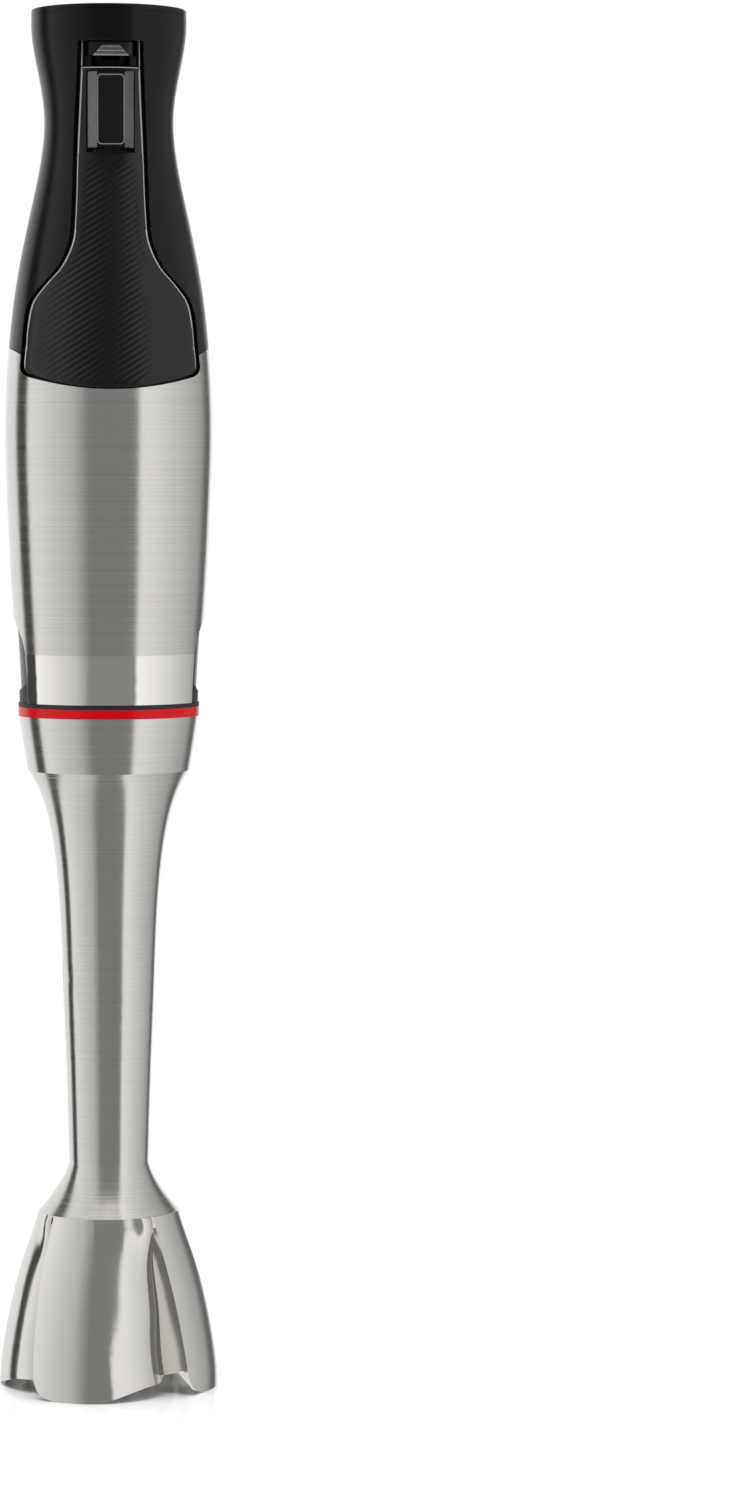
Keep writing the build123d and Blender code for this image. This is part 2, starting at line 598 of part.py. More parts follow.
# ---------------------------------------------------------------- motor and electronics
def motor():
    can = ring(0, 20.0, 223.5, 272) - ring(0, 18.4, 225, 280)
    can -= ring(0, 7.0, 220, 230)
    for k in range(6):
        can -= Rot(0, 0, 60 * k) * Pos(12.4, 0, 224) * Cylinder(2.4, 8)
    keep("motor_can", can)
    magnet = ring(15.6, 18.35, 230, 266) & block((-30, 30), (4.5, 30), (220, 280))
    keep("magnets", Compound(children=[magnet, mirror(magnet, about=Plane.XZ)]))
    bell_end = ring(0, 20.0, 272.0, 286.5) - ring(0, 18.2, 271, 284.5) - ring(0, 7.0, 280, 290)
    for k in range(4):
        bell_end -= Rot(0, 0, 45 + 90 * k) * Pos(13.0, 0, 285) * Cylinder(2.6, 8)
    keep("brush_card", bell_end)
    keep("lower_bearing", ring(MOTOR_SHAFT_R + RUNNING, 7.0, 223.6, 228.4))
    keep("upper_bearing", ring(MOTOR_SHAFT_R + RUNNING, 7.0, 284.6, 289.4))
    lower = ring(20.0, 30, 226, 231) & motor_bay()
    upper = ring(20.0, 30, 263, 268) & motor_bay()
    keep("motor_dampers", Compound(children=[lower, upper]))
    holder = block((8.4, 17.7), (-3.4, 3.4), (274, 281)) - block((0, 30), (-2.3, 2.3), (275, 280))
    keep("brush_holders", mirrored(holder))
    keep("carbon_brushes", mirrored(block((6.75, 14.5), (-2.2, 2.2), (275.1, 279.9))))
    keep("motor_shaft", ring(0, MOTOR_SHAFT_R, 205.5, 291))
    keep("armature_core", armature_core())
    keep("windings", windings())
    keep("commutator", commutator())
    keep("cooling_fan", cooling_fan())
    keep("output_coupling", output_coupling())


def armature_core():
    core = ring(MOTOR_SHAFT_R, 15.0, 234, 262)
    slot = Pos(11.6, 0, 248) * Cylinder(1.7, 30) + block((11.6, 16), (-0.7, 0.7), (233, 263))
    for k in range(12):
        core -= Rot(0, 0, 30 * k) * slot
    return core


def windings():
    """End turns above and below the core, and the copper in its slots."""
    turn = ring(5.0, 13.4, 229.4, 233.9) + ring(5.0, 13.4, 262.1, 268)
    for k in range(12):
        turn += Rot(0, 0, 30 * k) * Pos(11.6, 0, 248) * Cylinder(1.55, 30)
    return turn


def commutator():
    body = ring(MOTOR_SHAFT_R, 6.4, 270, 281.5)
    for k in range(12):
        body -= Rot(0, 0, 15 + 30 * k) * block((5.7, 7), (-0.25, 0.25), (269, 282))
    return body


def cooling_fan():
    fan = ring(MOTOR_SHAFT_R, 5.0, 214.0, 222.0) + ring(4.0, 17.6, 214.0, 215.4)
    for k in range(11):
        vane = Rot(0, 0, 25) * block((-0.6, 0.6), (-5.5, 5.5), (215.0, 221.5))
        fan += Rot(0, 0, 360 * k / 11) * Pos(11.6, 0, 0) * Rot(0, 0, 60) * vane
    return fan


def output_coupling():
    """Female driver on the motor shaft, with six straight grooves for the dog's ribs."""
    hub = ring(0, 8.2, 191.8, 211.5)
    hub -= ring(0, 4.0, 190, 204.2)
    groove = block((3.0, 5.9), (-1.1, 1.1), (190, 203.4))
    for k in range(6):
        hub -= Rot(0, 0, 60 * k) * groove
    return hub - ring(0, MOTOR_SHAFT_R, 205.5, 215)


def inner_frame():
    """Plastic spine of the handle: a base ring over the motor and two rails."""
    frame = filled(BODY_OUTLINE, FRAME_INSET) & ring(12.0, 40, FLANGE_TOP, FRAME_TOP)
    for k in range(4):
        frame -= Rot(0, 0, 45 + 90 * k) * Pos(SCREW_R, 0, FRAME_TOP) * Cylinder(1.25, 12)
    rails = filled(BODY_OUTLINE, FRAME_INSET) & block((-30, 30), (-1.5, 6.5), (FRAME_TOP - 1, 391))
    rails -= block((-RAIL_X, RAIL_X), (-30, 30), (280, 388.6))
    return frame + (rails & ring(0, 17.2, 280, 395))


def electronics():
    keep("inner_frame", inner_frame())
    keep("control_board", block((-RAIL_X, RAIL_X), (2.2, 3.8), (300, 350)))
    choke = Pos(-5.5, 8.6, 312) * Cylinder(4.6, 12)
    capacitor = Pos(5.6, 8.4, 314) * Cylinder(4.4, 16)
    heat_sink = block((-6.0, 6.0), (3.9, 9.5), (326, 340)) - block((-4.6, 4.6), (5.2, 12), (325, 341))
    chip = block((-4.0, 4.0), (0.2, 2.1), (318, 330))
    keep("board_components", Compound(children=[choke, capacitor, heat_sink, chip]))
    screw = ring(0, 1.25, 281.5, FRAME_TOP) + ring(0, 2.4, FRAME_TOP, FRAME_TOP + 1.8)
    keep("frame_screws", turns(Pos(SCREW_R, 0, 0) * screw, 4, 45))
    spring = Pos(20.3, 0, 216.5) * Rot(0, 90, 0) * coil_spring(1.7, 0.25, 0.6, 1.4)
    keep("latch_springs", mirrored(spring))


def main():
    os.makedirs("parts", exist_ok=True)
    blending_foot()
    blade_shaft()
    covers()
    controls()
    motor()
    electronics()
    for name, shape in PARTS.items():
        export_step(shape, f"parts/{name}.step")


main()
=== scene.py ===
"""Looks of the immersion blender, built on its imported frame. Metres, +Z up, -Y is the trigger side."""

import json
import math

import bpy
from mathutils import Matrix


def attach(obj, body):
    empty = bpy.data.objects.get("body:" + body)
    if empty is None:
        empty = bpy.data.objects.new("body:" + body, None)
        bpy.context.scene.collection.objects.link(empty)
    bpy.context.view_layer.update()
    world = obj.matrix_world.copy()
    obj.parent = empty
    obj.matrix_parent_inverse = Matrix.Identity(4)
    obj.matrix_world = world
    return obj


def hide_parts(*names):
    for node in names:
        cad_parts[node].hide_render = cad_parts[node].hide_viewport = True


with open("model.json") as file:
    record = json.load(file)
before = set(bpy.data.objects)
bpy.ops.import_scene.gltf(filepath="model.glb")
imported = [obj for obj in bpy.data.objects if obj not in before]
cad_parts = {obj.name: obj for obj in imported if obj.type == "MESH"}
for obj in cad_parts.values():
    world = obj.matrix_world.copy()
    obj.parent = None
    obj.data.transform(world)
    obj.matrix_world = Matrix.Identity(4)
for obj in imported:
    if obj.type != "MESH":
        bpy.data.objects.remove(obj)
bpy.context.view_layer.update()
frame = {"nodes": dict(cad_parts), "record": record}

# ---------------------------------------------------------------- sizes shared with the CAD source
POLISHED_BAND_TOP = 0.2123      # the sleeve is polished below this height and brushed above it
MM = 0.001

# Handle's outline as (radius, height) and the insert's as (half width, height), in millimetres.
BODY_OUTLINE = [(29.5, 257), (30.05, 276), (29.3, 297), (26.6, 321), (22.6, 341), (19.4, 357.5),
                (18.75, 367.5), (20.3, 379.5), (22.0, 388.5)]
GRIP_OUTLINE = [(24.7, 284), (24.7, 295.6), (24.2, 301), (23.4, 309), (22.0, 314), (18.6, 318.5),
                (14.2, 323.5), (11.0, 330.5), (10.1, 338), (9.4, 358), (8.5, 379), (8.2, 388.6)]
GRIP_CORNER = (22.6, 292.6)
GRIP_FOOT = 288.7
GRIP_HEAD = 381.0
GRIP_INSET = 0.1                # the insert's face lies this far under the handle's
GRIP_THICK = 2.3
WINDOW_HALF, WINDOW_LOW, WINDOW_HIGH = 6.95, 356.5, 379.9

# Sunk panel of the trigger as (width, height, corner radius), and where its bevels, which carry a painted
# highlight, start and end.
PANEL = (7.3, 19.6, 1.0)
PANEL_Z = 368.7
BEVEL_START = 4.0
BEVEL_END = 6.5
BEVEL_HIGHLIGHT_SHARE = 0.45
BEVEL_BLUR = 0.04
HIGHLIGHT_BORDER_INNER = (-0.06, 0.04)    # the panel's painted highlight border fades in and out over these distances from its edge
HIGHLIGHT_BORDER_OUTER = (0.22, 0.34)

# Where the lock's catch and the lock housing's rims carry a painted highlight, in metres from the middle
# planes.
CATCH_HIGHLIGHT_Y = (-0.0230, -0.0199)
RIM_HIGHLIGHT_X = (0.00812, 0.0090)
HIGHLIGHT_EDGE_BLUR = 0.00004

# Ribs of the insert, and the roll of its edge.
RIB_PITCH = 1.56
RIB_RISE = math.radians(32)     # the ribs climb to the right
RIB_HEIGHT = 0.30
RIB_TOP = (350.0, 356.0)        # the ribs fade out between these heights
RIB_MARGIN = (1.2, 4.2)         # and between these distances from the insert's edge
EDGE_ROLL = 0.45
HIGHLIGHT_EDGE_WIDTH = 0.36               # the painted highlight line along the insert's sides and top
EDGE_STEPS = (0.0, 0.03, 0.09, 0.18, 0.3, 0.45, 0.7)
GRID = 0.3                      # spacing of the insert's mesh
WINDOW_GRID = 1.0               # spacing of its rows beside the trigger's window
LEVEL_ROWS = 300.0              # its rows are level above this height and follow the foot below it
SHARP_ANGLE = math.radians(50)

# ---------------------------------------------------------------- camera, as the object is seen
CAMERA_AZIMUTH = math.radians(-1.5)
CAMERA_DISTANCE = 1.3402
CAMERA_HEIGHT = 0.263
CAMERA_YAW = math.radians(3.28)
LENS_MM = 110.4
SENSOR_MM = 36
SHIFT_UP = -0.181


# ---------------------------------------------------------------- node helpers
class Nodes:
    """A node tree, with short ways to add and link nodes."""

    def __init__(self, tree):
        self.tree = tree

    def add(self, kind, **settings):
        node = self.tree.nodes.new(kind)
        for key, value in settings.items():
            setattr(node, key, value)
        return node

    def link(self, source, target):
        self.tree.links.new(source, target)


class Shader(Nodes):
    """One material's nodes, with short ways to add patterns and drive its surface."""

    def __init__(self, name):
        self.material = bpy.data.materials.new(name)
        self.material.use_nodes = True
        super().__init__(self.material.node_tree)
        self.surface = self.tree.nodes["Principled BSDF"]

    def set(self, **values):
        """Constant values straight onto the surface's sockets; an underscore stands for a space."""
        for key, value in values.items():
            self.surface.inputs[key.replace("_", " ")].default_value = value

    def place(self, scale):
        """The row frame's coordinates in metres, times a scale for each axis."""
        coords = self.add("ShaderNodeTexCoord")
        mapping = self.add("ShaderNodeMapping")
        mapping.inputs["Scale"].default_value = scale
        self.link(coords.outputs["Object"], mapping.inputs["Vector"])
        return mapping.outputs["Vector"]

    def noise(self, scale, detail=4.0, roughness=0.55):
        node = self.add("ShaderNodeTexNoise")
        node.inputs["Scale"].default_value = 1.0
        node.inputs["Detail"].default_value = detail
        node.inputs["Roughness"].default_value = roughness
        self.link(self.place(scale), node.inputs["Vector"])
        return node.outputs["Fac"]

    def ramp(self, value, low, high, to_low, to_high):
        node = self.add("ShaderNodeMapRange")
        for key, number in (("From Min", low), ("From Max", high), ("To Min", to_low), ("To Max", to_high)):
            node.inputs[key].default_value = number
        self.link(value, node.inputs["Value"])
        return node.outputs["Result"]

    def maths(self, operation, *values):
        node = self.add("ShaderNodeMath", operation=operation)
        for socket, value in zip(node.inputs, values):
            if isinstance(value, (int, float)):
                socket.default_value = value
            else:
                self.link(value, socket)
        return node.outputs["Value"]

    def mix(self, factor, first, second):
        """A colour between two colours, by a factor socket."""
        node = self.add("ShaderNodeMix", data_type="RGBA")
        node.inputs["A"].default_value = (*first, 1)
        node.inputs["B"].default_value = (*second, 1)
        self.link(factor, node.inputs["Factor"])
        return node.outputs["Result"]

    def colour(self, factor, first, second):
        self.link(self.mix(factor, first, second), self.surface.inputs["Base Color"])

    def roughness(self, socket):
        self.link(socket, self.surface.inputs["Roughness"])

    def bump(self, height, strength, distance):
        node = self.add("ShaderNodeBump")
        node.inputs["Strength"].default_value = strength
        node.inputs["Distance"].default_value = distance
        self.link(height, node.inputs["Height"])
        self.link(node.outputs["Normal"], self.surface.inputs["Normal"])


def grey(value, tint=1.0):
    return (value, value, value * tint)


def warm(value):
    """Stainless steel's slightly yellow grey."""
    return (value, value * 0.975, value * 0.935)


# ---------------------------------------------------------------- materials
POLISHED = warm(0.86)
POLISHED_ROUGHNESS = 0.25       # share of the brushed steel's roughness
POLISH_BLUR = 0.0001


def brushed_steel(name, level=0.70, rough=0.20, polished_below=None):
    """Stainless steel brushed round the axis; optionally polished under a given height."""
    s = Shader(name)
    lines = s.noise((14, 14, 3600), detail=2)
    shade = s.mix(s.ramp(lines, 0.3, 0.7, 0, 1), warm(level * 0.93), warm(level * 1.04))
    rough_socket = s.ramp(lines, 0.3, 0.7, rough - 0.04, rough + 0.05)
    if polished_below is not None:
        axes = s.add("ShaderNodeSeparateXYZ")
        s.link(s.place((1, 1, 1)), axes.inputs["Vector"])
        brushed = s.ramp(axes.outputs["Z"], polished_below - POLISH_BLUR, polished_below + POLISH_BLUR, 0, 1)
        share = s.maths("MULTIPLY_ADD", brushed, 1 - POLISHED_ROUGHNESS, POLISHED_ROUGHNESS)
        rough_socket = s.maths("MULTIPLY", rough_socket, share)
        band = s.add("ShaderNodeMix", data_type="RGBA")
        band.inputs["A"].default_value = (*POLISHED, 1)
        s.link(brushed, band.inputs["Factor"])
        s.link(shade, band.inputs["B"])
        shade = band.outputs["Result"]
    s.link(shade, s.surface.inputs["Base Color"])
    s.roughness(rough_socket)
    s.set(Metallic=1.0, Anisotropic=0.65, Anisotropic_Rotation=0.25)
    tangent = s.add("ShaderNodeTangent", direction_type="RADIAL", axis="Z")
    s.link(tangent.outputs["Tangent"], s.surface.inputs["Tangent"])
    s.bump(lines, 0.03, 0.00002)
    return s.material


def polished_steel(name, level=0.75):
    """Mirror-polished stainless steel with faint wipe marks."""
    s = Shader(name)
    smear = s.noise((70, 70, 40), detail=3)
    s.colour(smear, warm(level * 0.95), warm(level))
    s.roughness(s.ramp(smear, 0.3, 0.7, 0.11, 0.17))
    s.set(Metallic=1.0)
    s.bump(smear, 0.05, 0.0002)
    return s.material


def machined_steel(name, level=0.5):
    s = Shader(name)
    rings = s.noise((300, 300, 3000), detail=3)
    s.colour(rings, grey(level * 0.85), grey(level))
    s.roughness(s.ramp(rings, 0.3, 0.7, 0.28, 0.42))
    s.set(Metallic=1.0)
    s.bump(rings, 0.1, 0.00002)
    return s.material


def gloss_black(name, rough=0.25, grain=0.05, level=0.0007):
    """Black moulded plastic with a faint orange peel and fine dust-like grain."""
    s = Shader(name)
    peel = s.noise((900, 900, 900), detail=3)
    wide = s.noise((60, 60, 45), detail=2)
    s.colour(wide, grey(level * 0.8, 1.03), grey(level * 1.25, 1.03))
    s.roughness(s.ramp(wide, 0.3, 0.7, rough - 0.03, rough + 0.04))
    s.set(Specular_IOR_Level=0.27, Sheen_Weight=0.12, Sheen_Roughness=0.25)
    s.bump(peel, grain, 0.00004)
    return s.material


def matte_black(name, level=0.012, rough=0.5):
    s = Shader(name)
    grain = s.noise((2600, 2600, 2600), detail=2)
    s.colour(grain, grey(level * 0.75), grey(level * 1.2))
    s.roughness(s.ramp(grain, 0.3, 0.7, rough - 0.08, rough + 0.1))
    s.bump(grain, 0.25, 0.00006)
    return s.material


def soft_touch(name):
    """Matte thermoplastic rubber with a very fine tooth."""
    s = Shader(name)
    tooth = s.noise((3500, 3500, 3500), detail=2)
    s.colour(tooth, grey(0.0008), grey(0.0024))
    s.roughness(s.ramp(tooth, 0.3, 0.7, 0.27, 0.36))
    s.set(Specular_IOR_Level=0.46)
    s.bump(tooth, 0.2, 0.00004)
    return s.material


def rolled_edge_painted_highlight(name):
    """The insert's rolled edge: smooth, and lighter than its face as a painted highlight."""
    s = Shader(name)
    wide = s.noise((150, 150, 90), detail=2)
    s.colour(wide, grey(0.34), grey(0.50))
    s.roughness(s.ramp(wide, 0.3, 0.7, 0.22, 0.3))
    return s.material


def red_gloss(name):
    s = Shader(name)
    wide = s.noise((120, 120, 300), detail=2)
    s.colour(wide, (0.62, 0.001, 0.004), (0.74, 0.002, 0.006))
    s.roughness(s.ramp(wide, 0.3, 0.7, 0.20, 0.28))
    s.set(Specular_IOR_Level=0.25)
    s.bump(wide, 0.05, 0.0001)
    return s.material


def plain_plastic(name, colour, rough=0.5):
    """Moulded plastic or rubber of one hue, with a fine tooth and a little mottling."""
    s = Shader(name)
    grain = s.noise((1800, 1800, 1800), detail=2)
    s.colour(grain, [c * 0.85 for c in colour], colour)
    s.roughness(s.ramp(grain, 0.3, 0.7, rough - 0.06, rough + 0.08))
    s.bump(grain, 0.15, 0.00004)
    return s.material


def coloured_metal(name, colour, rough=0.35):
    s = Shader(name)
    rings = s.noise((700, 700, 2600), detail=3)
    s.colour(rings, [c * 0.8 for c in colour], colour)
    s.roughness(s.ramp(rings, 0.3, 0.7, rough - 0.08, rough + 0.08))
    s.set(Metallic=1.0)
    return s.material


def painted_highlight_band(name, axis, edges, dark, light, rough, mirrored=True, specular=0.5):
    """Gloss plastic with a painted highlight: lighter between two places along one axis, such as a lit edge
    line.
    """
    s = Shader(name)
    axes = s.add("ShaderNodeSeparateXYZ")
    s.link(s.place((1, 1, 1)), axes.inputs["Vector"])
    place = axes.outputs[axis]
    if mirrored:
        place = s.maths("ABSOLUTE", place)
    inside = s.ramp(place, edges[0] - HIGHLIGHT_EDGE_BLUR, edges[0] + HIGHLIGHT_EDGE_BLUR, 0, 1)
    outside = s.ramp(place, edges[1] - HIGHLIGHT_EDGE_BLUR, edges[1] + HIGHLIGHT_EDGE_BLUR, 1, 0)
    wide = s.noise((400, 400, 300), detail=2)
    share = s.maths("MULTIPLY", s.maths("MULTIPLY", inside, outside), s.ramp(wide, 0.3, 0.7, 0.85, 1))
    # the lighter band between the two places is painted highlight
    s.colour(share, grey(dark), grey(light))
    s.roughness(s.ramp(wide, 0.3, 0.7, rough - 0.03, rough + 0.04))
    s.set(Specular_IOR_Level=specular)
    s.bump(wide, 0.05, 0.00004)
    return s.material


def trigger_black_painted_highlight(name):
    """Piano black with painted highlights: lighter bevels, and a thin light border round the sunk panel."""
    s = Shader(name)
    axes = s.add("ShaderNodeSeparateXYZ")
    s.link(s.place((1000, 1000, 1000)), axes.inputs["Vector"])
    width, height, corner = PANEL
    across = s.maths("ABSOLUTE", axes.outputs["X"])
    up = s.maths("ABSOLUTE", s.maths("SUBTRACT", axes.outputs["Z"], PANEL_Z))
    past_x = s.maths("MAXIMUM", s.maths("SUBTRACT", across, width / 2 - corner), 0)
    past_z = s.maths("MAXIMUM", s.maths("SUBTRACT", up, height / 2 - corner), 0)
    square_x = s.maths("MULTIPLY", past_x, past_x)
    square_z = s.maths("MULTIPLY", past_z, past_z)
    outward = s.maths("SUBTRACT", s.maths("SQRT", s.maths("ADD", square_x, square_z)), corner)
    border = s.maths("MULTIPLY", s.ramp(outward, *HIGHLIGHT_BORDER_INNER, 0, 1), s.ramp(outward, *HIGHLIGHT_BORDER_OUTER, 1, 0))
    bevel = s.ramp(across, BEVEL_START - BEVEL_BLUR, BEVEL_START + BEVEL_BLUR, 0, BEVEL_HIGHLIGHT_SHARE)
    bevel_end = s.ramp(across, BEVEL_END - BEVEL_BLUR, BEVEL_END + BEVEL_BLUR, 1, 0)
    bevel = s.maths("MULTIPLY", bevel, bevel_end)
    wide = s.noise((400, 400, 300), detail=2)
    share = s.maths("MULTIPLY", s.maths("MAXIMUM", border, bevel), s.ramp(wide, 0.3, 0.7, 0.85, 1))
    # the lighter colour on the bevels and round the panel is painted highlight
    s.colour(share, grey(0.0008), grey(0.30))
    s.roughness(s.ramp(wide, 0.3, 0.7, 0.12, 0.18))
    s.bump(wide, 0.05, 0.00004)
    return s.material


def control_materials():
    """Finishes of the pieces round the trigger: gloss black with painted highlights on edges."""
    return {
        "trigger": trigger_black_painted_highlight("trigger_black_painted_highlight"),
        "safety_lock": painted_highlight_band("lock_painted_highlight", "Y", CATCH_HIGHLIGHT_Y, 0.0005, 0.32, 0.25, mirrored=False),
        "lock_housing": painted_highlight_band("lock_rim_painted_highlight", "X", RIM_HIGHLIGHT_X, 0.0005, 0.45, 0.4, specular=0.2),
    }


def slot_materials():
    """One material for each of the record's material slots."""
    return {
        "brushed_steel": brushed_steel("brushed_steel"),
        "polished_steel": polished_steel("polished_steel"),
        "blade_steel": machined_steel("blade_steel", 0.58),
        "gloss_black": gloss_black("gloss_black"),
        "matte_black": matte_black("matte_black"),
        "soft_touch": soft_touch("soft_touch"),
        "red_ring": red_gloss("red_ring"),
        "grey_plastic": plain_plastic("grey_plastic", (0.10, 0.10, 0.105)),
        "white_plastic": plain_plastic("white_plastic", (0.60, 0.60, 0.57), 0.4),
        "machined_steel": machined_steel("machined_steel"),
        "laminated_iron": machined_steel("laminated_iron", 0.22),
        "copper_winding": coloured_metal("copper_winding", (0.70, 0.27, 0.13)),
        "bronze": coloured_metal("bronze", (0.55, 0.38, 0.18), 0.42),
        "ferrite": plain_plastic("ferrite", (0.05, 0.05, 0.052), 0.6),
        "carbon": plain_plastic("carbon", (0.02, 0.02, 0.02), 0.6),
        "rubber": plain_plastic("rubber", (0.014, 0.014, 0.014), 0.6),
        "circuit_board": plain_plastic("circuit_board", (0.02, 0.12, 0.05), 0.4),
        "aluminium": coloured_metal("aluminium", (0.60, 0.60, 0.61), 0.38),
    }


def repaint(name, material):
    """One CAD node takes a material."""
    mesh = frame["nodes"][name].data
    mesh.materials.clear()
    mesh.materials.append(material)


def dress(materials):
    """Every CAD node takes its slot's material."""
    for entry in frame["record"]["subparts"]:
        repaint(entry["node"], materials[entry["material_slot"]])


# ---------------------------------------------------------------- insert
def smooth(outline, height):
    """The outline's width at a height, on a smooth curve through its points."""
    places = [z for _, z in outline]
    k = max(1, min(len(places) - 1, sum(z < height for z in places)))
    widths = [w for w, _ in outline]

    def slope(n):
        a, b = max(n - 1, 0), min(n + 1, len(places) - 1)
        return (widths[b] - widths[a]) / (places[b] - places[a])

    span = places[k] - places[k - 1]
    t = (height - places[k - 1]) / span
    rest = 1 - t
    start = widths[k - 1] * (1 + 2 * t) * rest ** 2 + slope(k - 1) * span * t * rest ** 2
    return start + widths[k] * (3 - 2 * t) * t ** 2 - slope(k) * span * rest * t ** 2


def fade(value, low, high):
    t = max(0.0, min(1.0, (value - low) / (high - low)))
    return t * t * (3 - 2 * t)


def insert_foot(x):
    """Height of the insert's lower edge at a distance from its middle line."""
    corner_x, corner_z = GRIP_CORNER
    rise = corner_z - GRIP_FOOT
    radius = (corner_x ** 2 + rise ** 2) / (2 * rise)
    x = abs(x)
    if x <= corner_x:
        return GRIP_FOOT + radius - math.sqrt(radius ** 2 - x ** 2)
    shoulder_x, shoulder_z = GRIP_OUTLINE[1]
    t = min(1.0, (x - corner_x) / (shoulder_x - corner_x))
    return corner_z + (shoulder_z - corner_z) * (1 - math.sqrt(1 - t * t))


def spread(low, high, step):
    """Places from low to high, both included, about a step apart."""
    count = max(1, round((high - low) / step))
    return [low + (high - low) * k / count for k in range(count + 1)]


def insert_columns(half):
    """Distances from the middle line across the insert where it has this half width."""
    edge = [half - d for d in EDGE_STEPS]
    flank = GRIP_OUTLINE[0][0] - EDGE_STEPS[-1] - WINDOW_HALF
    shares = [share / flank for share in spread(0, flank, GRID)][1:]
    side = edge + [edge[-1] + (WINDOW_HALF - edge[-1]) * share for share in shares]
    middle = spread(-WINDOW_HALF, WINDOW_HALF, GRID)[1:-1]
    return [-x for x in side] + middle + side[::-1]


def insert_rows():
    """The insert's rows: (lift, share) for those that follow the foot, then the heights of the level ones."""
    bend = [(d, None) for d in EDGE_STEPS]
    reach = LEVEL_ROWS - GRIP_FOOT
    bend += [(0.0, share / reach) for share in spread(EDGE_STEPS[-1], reach, GRID)[1:]]
    straight = spread(LEVEL_ROWS, WINDOW_LOW, GRID)[1:] + spread(WINDOW_LOW, WINDOW_HIGH, WINDOW_GRID)[1:]
    top = [GRIP_HEAD - d for d in reversed(EDGE_STEPS)]
    return bend, straight + top


def insert_relief(x, z):
    """How far the face stands proud of the smooth handle: the ribs, less the roll of the edge."""
    side = smooth(GRIP_OUTLINE, z) - abs(x)
    foot = z - insert_foot(x)
    edge = min(side, foot, GRIP_HEAD - z)
    phase = (z * math.cos(RIB_RISE) - x * math.sin(RIB_RISE)) / RIB_PITCH
    wave = abs(math.sin(math.pi * phase))
    strength = fade(min(side, foot + 1.0), *RIB_MARGIN) * (1 - fade(z, *RIB_TOP))
    relief = RIB_HEIGHT * strength * (wave - 1)
    if edge < EDGE_ROLL:
        relief -= EDGE_ROLL - math.sqrt(max(0.0, EDGE_ROLL ** 2 - (EDGE_ROLL - edge) ** 2))
    return relief


def insert_points():
    """The insert's (x, z) grid, row by row from its foot."""
    bend, straight = insert_rows()
    rows = []
    widest = insert_columns(smooth(GRIP_OUTLINE, GRIP_FOOT))
    for lift, share in bend:
        row = []
        for n, x in enumerate(widest):
            foot = insert_foot(x)
            z = foot + lift if share is None else foot + EDGE_STEPS[-1]
            if share is not None:
                z += (LEVEL_ROWS - z) * share
            row.append((insert_columns(smooth(GRIP_OUTLINE, z))[n] if abs(x) > WINDOW_HALF else x, z))
        rows.append(row)
    for z in straight:
        rows.append([(x, z) for x in insert_columns(smooth(GRIP_OUTLINE, z))])
    return rows


def insert_surfaces(grid):
    """The corners of the insert's front, with its relief, and of its smooth back."""
    front, back = [], []
    for x, z in grid:
        radius = smooth(BODY_OUTLINE, z) - GRIP_INSET
        face = radius + insert_relief(x, z)
        front.append((x * MM, -math.sqrt(face ** 2 - x ** 2) * MM, z * MM))
        back.append((x * MM, -math.sqrt((radius - GRIP_THICK) ** 2 - x ** 2) * MM, z * MM))
    return front, back


def insert_faces(grid, down, across):
    """The front's faces round the window, their middles, and the edges that only one face has."""
    faces, middles, edges = [], [], set()
    for r in range(down - 1):
        for c in range(across - 1):
            a = r * across + c
            x = (grid[a][0] + grid[a + 1][0]) / 2
            z = (grid[a][1] + grid[a + across][1]) / 2
            if abs(x) < WINDOW_HALF and WINDOW_LOW < z < WINDOW_HIGH:
                continue
            face = (a, a + 1, a + across + 1, a + across)
            faces.append(face)
            middles.append((x, z))
            for start, end in zip(face, face[1:] + face[:1]):
                edges ^= {(min(start, end), max(start, end))}
    return faces, middles, edges


def insert_walls(faces, edges, size):
    """Walls from the front's open edges to the back's, whose corners are numbered size further on."""
    forward = {pair for face in faces for pair in zip(face, face[1:] + face[:1])}
    walls = []
    for start, end in edges:
        if (start, end) not in forward:
            start, end = end, start
        walls.append((end, start, start + size, end + size))
    return walls


def grip_insert(material, edge_highlight):
    """The ribbed soft insert: its front with ribs and a rolled edge that carries a painted highlight, its
    back, and the walls between them.
    """
    rows = insert_points()
    grid = [point for row in rows for point in row]
    size = len(grid)
    front, back = insert_surfaces(grid)
    faces, middles, edges = insert_faces(grid, len(rows), len(rows[0]))
    walls = insert_walls(faces, edges, size)
    backs = [tuple(n + size for n in reversed(face)) for face in faces]
    mesh = bpy.data.meshes.new("grip_insert")
    mesh.from_pydata(front + back, [], faces + backs + walls)
    mesh.shade_smooth()
    mesh.set_sharp_from_angle(angle=SHARP_ANGLE)
    mesh.materials.append(material)
    mesh.materials.append(edge_highlight)
    # faces along the insert's sides and top take the painted highlight material
    for index, (x, z) in enumerate(middles):
        edge = min(smooth(GRIP_OUTLINE, z) - abs(x), GRIP_HEAD - z)
        if edge < HIGHLIGHT_EDGE_WIDTH:
            mesh.polygons[index].material_index = 1
    piece = bpy.data.objects.new("grip_insert", mesh)
    bpy.context.scene.collection.objects.link(piece)
    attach(piece, "motor_unit")
    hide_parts("soft_grip")
    return piece


# ---------------------------------------------------------------- studio
# Brightness of the studio by azimuth in degrees: 0 is on the trigger side, positive to its right.
STUDIO_BANDS = [(-180, 0.95), (-130, 0.95), (-124, 0.06), (-107, 0.06), (-104, 1.05), (-42, 0.60),
                (-25, 0.26), (30, 0.26), (35, 1.05), (125, 0.45), (138, 0.16), (150, 0.16), (158, 0.95),
                (180, 0.95)]
CEILING = 2.0                   # brightness overhead
CEILING_EDGES = (0.90, 0.985)   # sine of the elevation where the bands give way to the ceiling
OVERHEAD_SIZE = 1.6
OVERHEAD_WATTS = 26
OVERHEAD_HEIGHT = 1.6
FLOOR_RADIUS = 0.36


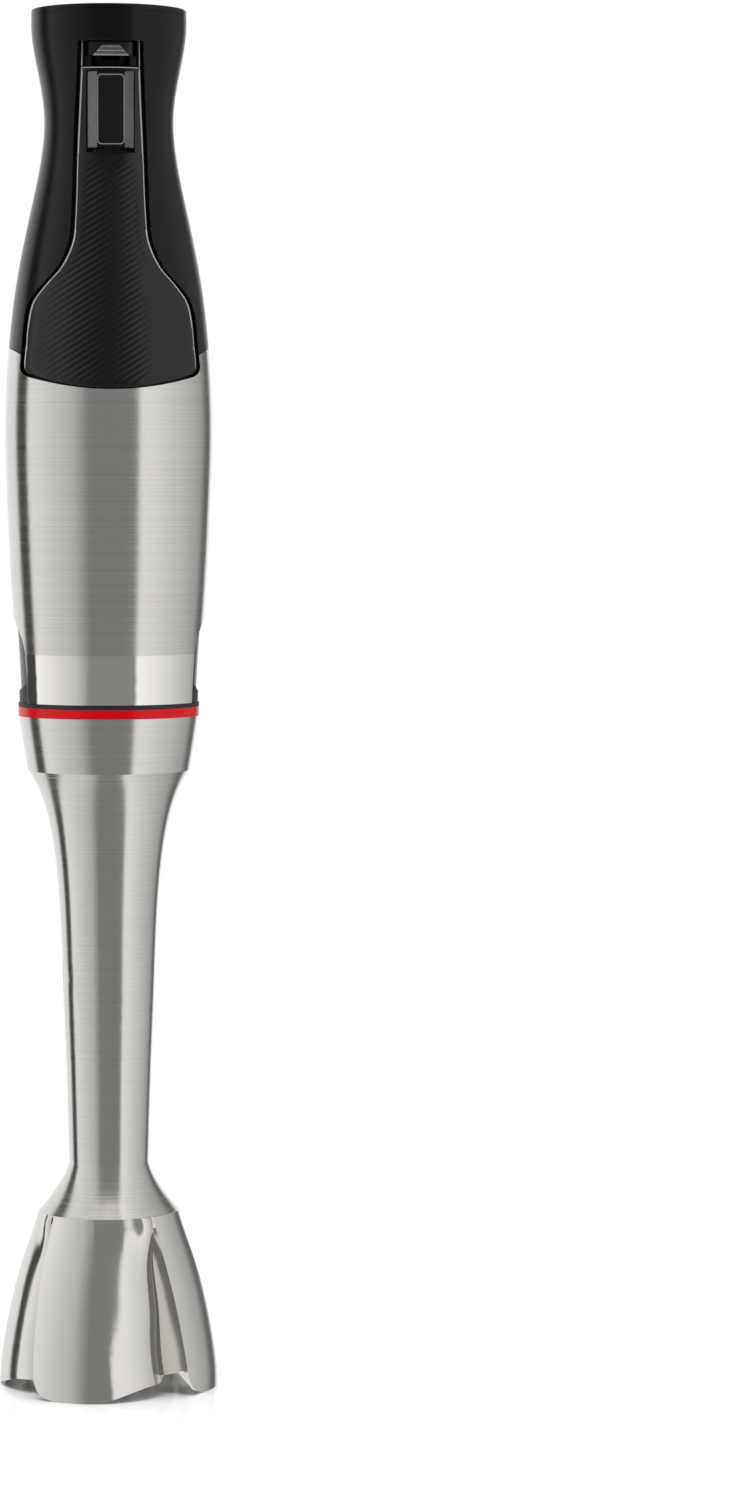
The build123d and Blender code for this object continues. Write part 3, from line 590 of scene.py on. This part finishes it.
def studio_light():
    """A wrap-round studio: two soft side lights, dark gaps between them, and a bright ceiling."""
    world = bpy.data.worlds.new("studio")
    world.use_nodes = True
    sky = Nodes(world.node_tree)
    add, link = sky.add, sky.link
    background = sky.tree.nodes["Background"]

    coords = add("ShaderNodeTexCoord")
    axes = add("ShaderNodeSeparateXYZ")
    flip = add("ShaderNodeMath", operation="MULTIPLY")
    flip.inputs[1].default_value = -1
    turn = add("ShaderNodeMath", operation="ARCTAN2")
    scale = add("ShaderNodeMapRange")
    scale.inputs["From Min"].default_value = -math.pi
    scale.inputs["From Max"].default_value = math.pi
    bands = add("ShaderNodeValToRGB")
    link(coords.outputs["Generated"], axes.inputs["Vector"])
    link(axes.outputs["Y"], flip.inputs[0])
    link(axes.outputs["X"], turn.inputs[0])
    link(flip.outputs["Value"], turn.inputs[1])
    link(turn.outputs["Value"], scale.inputs["Value"])
    link(scale.outputs["Result"], bands.inputs["Fac"])
    elements = bands.color_ramp.elements
    while len(elements) < len(STUDIO_BANDS):
        elements.new(0.5)
    for element, (azimuth, level) in zip(elements, STUDIO_BANDS):
        element.position = (azimuth + 180) / 360
        element.color = (level, level, level, 1)

    rise = add("ShaderNodeMapRange", interpolation_type="SMOOTHSTEP")
    rise.inputs["From Min"].default_value, rise.inputs["From Max"].default_value = CEILING_EDGES
    link(axes.outputs["Z"], rise.inputs["Value"])
    overhead = add("ShaderNodeMix", data_type="RGBA")
    overhead.inputs["B"].default_value = (CEILING, CEILING, CEILING, 1)
    link(rise.outputs["Result"], overhead.inputs["Factor"])
    link(bands.outputs["Color"], overhead.inputs["A"])

    path = add("ShaderNodeLightPath")
    seen = add("ShaderNodeMix", data_type="RGBA")
    seen.inputs["B"].default_value = (1, 1, 1, 1)
    link(path.outputs["Is Camera Ray"], seen.inputs["Factor"])
    link(overhead.outputs["Result"], seen.inputs["A"])
    link(seen.outputs["Result"], background.inputs["Color"])
    bpy.context.scene.world = world
    bpy.context.scene.view_settings.view_transform = "Standard"


def floor():
    bpy.ops.mesh.primitive_circle_add(vertices=128, radius=FLOOR_RADIUS, fill_type="NGON")
    disc = bpy.context.object
    disc.name = "floor"
    s = Shader("floor")
    mottle = s.noise((3, 3, 3), detail=2)
    s.colour(mottle, grey(0.90), grey(0.92))
    s.set(Roughness=0.14, Specular_IOR_Level=0.12)
    disc.data.materials.append(s.material)
    disc.visible_glossy = False


def overhead_light():
    """A soft box over the floor that the object's own faces don't mirror."""
    light = bpy.data.lights.new("overhead", "AREA")
    light.size = OVERHEAD_SIZE
    light.energy = OVERHEAD_WATTS
    lamp = bpy.data.objects.new("overhead", light)
    lamp.location = (0, 0, OVERHEAD_HEIGHT)
    lamp.visible_glossy = False
    bpy.context.scene.collection.objects.link(lamp)


def camera():
    data = bpy.data.cameras.new("camera")
    data.lens = LENS_MM
    data.sensor_width = SENSOR_MM
    data.shift_y = SHIFT_UP
    data.clip_start, data.clip_end = 0.05, 50
    cam = bpy.data.objects.new("camera", data)
    bpy.context.scene.collection.objects.link(cam)
    cam.location = (CAMERA_DISTANCE * math.sin(CAMERA_AZIMUTH), -CAMERA_DISTANCE * math.cos(CAMERA_AZIMUTH),
                    CAMERA_HEIGHT)
    cam.rotation_euler = (math.pi / 2, 0, CAMERA_AZIMUTH - CAMERA_YAW)
    bpy.context.scene.camera = cam


# ---------------------------------------------------------------- build
materials = slot_materials()
dress(materials)
grip_insert(materials["soft_touch"], rolled_edge_painted_highlight("rolled_edge_painted_highlight"))
for node, finish in control_materials().items():
    repaint(node, finish)
repaint("steel_sleeve", brushed_steel("sleeve_steel", polished_below=POLISHED_BAND_TOP))
floor()
overhead_light()
studio_light()
camera()
